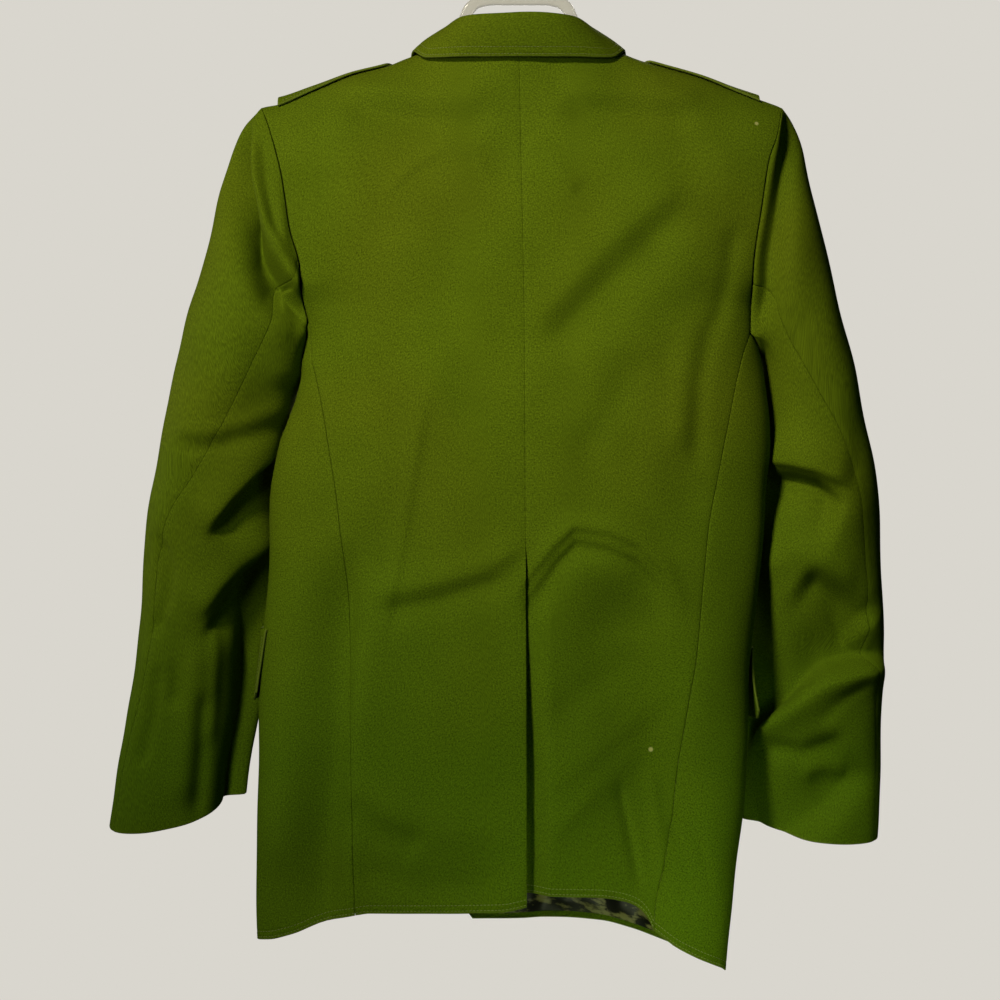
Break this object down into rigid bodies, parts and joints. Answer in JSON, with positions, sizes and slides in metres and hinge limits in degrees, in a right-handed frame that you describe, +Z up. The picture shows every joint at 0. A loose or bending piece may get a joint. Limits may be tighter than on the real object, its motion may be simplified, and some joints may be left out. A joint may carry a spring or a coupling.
{
  "type": "police uniform jacket on a clear plastic hanger",
  "caption": "Hip-length olive wool uniform jacket with shoulder straps, notched lapels, flapped pockets and a back vent, hung on a clear plastic hanger by its hook.",
  "frame": {"origin": "the inside top of the hanger's hook, where a rail carries it", "axes": "+Z up, +X to the wearer's right, +Y out of the jacket's front; the pictured back faces -Y"},
  "size_m": [0.6692, 0.1414, 0.9074],
  "materials": {
    "olive_wool": "matt wool twill with a slight sheen",
    "lining_satin": "dark satin lining",
    "button_metal": "plain silver-grey domed metal",
    "clear_plastic": "clear gloss",
    "hook_steel": "bright steel wire"
  },
  "bodies": {
    "root": {"back_left": "olive_wool", "back_right": "olive_wool", "side_left": "olive_wool", "side_right": "olive_wool", "front_left": "olive_wool", "front_right": "olive_wool", "lapel_left": "olive_wool", "lapel_right": "olive_wool", "collar_stand": "olive_wool", "collar_fall": "olive_wool", "topsleeve_left": "olive_wool", "topsleeve_right": "olive_wool", "undersleeve_left": "olive_wool", "undersleeve_right": "olive_wool", "epaulette_left": "olive_wool", "epaulette_right": "olive_wool", "pocket_flap_left": "olive_wool", "pocket_flap_right": "olive_wool", "lining_front_right": "lining_satin", "front_button_1": "button_metal", "front_button_2": "button_metal", "front_button_3": "button_metal", "front_button_4": "button_metal", "epaulette_button_left": "button_metal", "epaulette_button_right": "button_metal", "hanger_body": "clear_plastic", "hanger_hook": "hook_steel"}
  },
  "joints": []
}
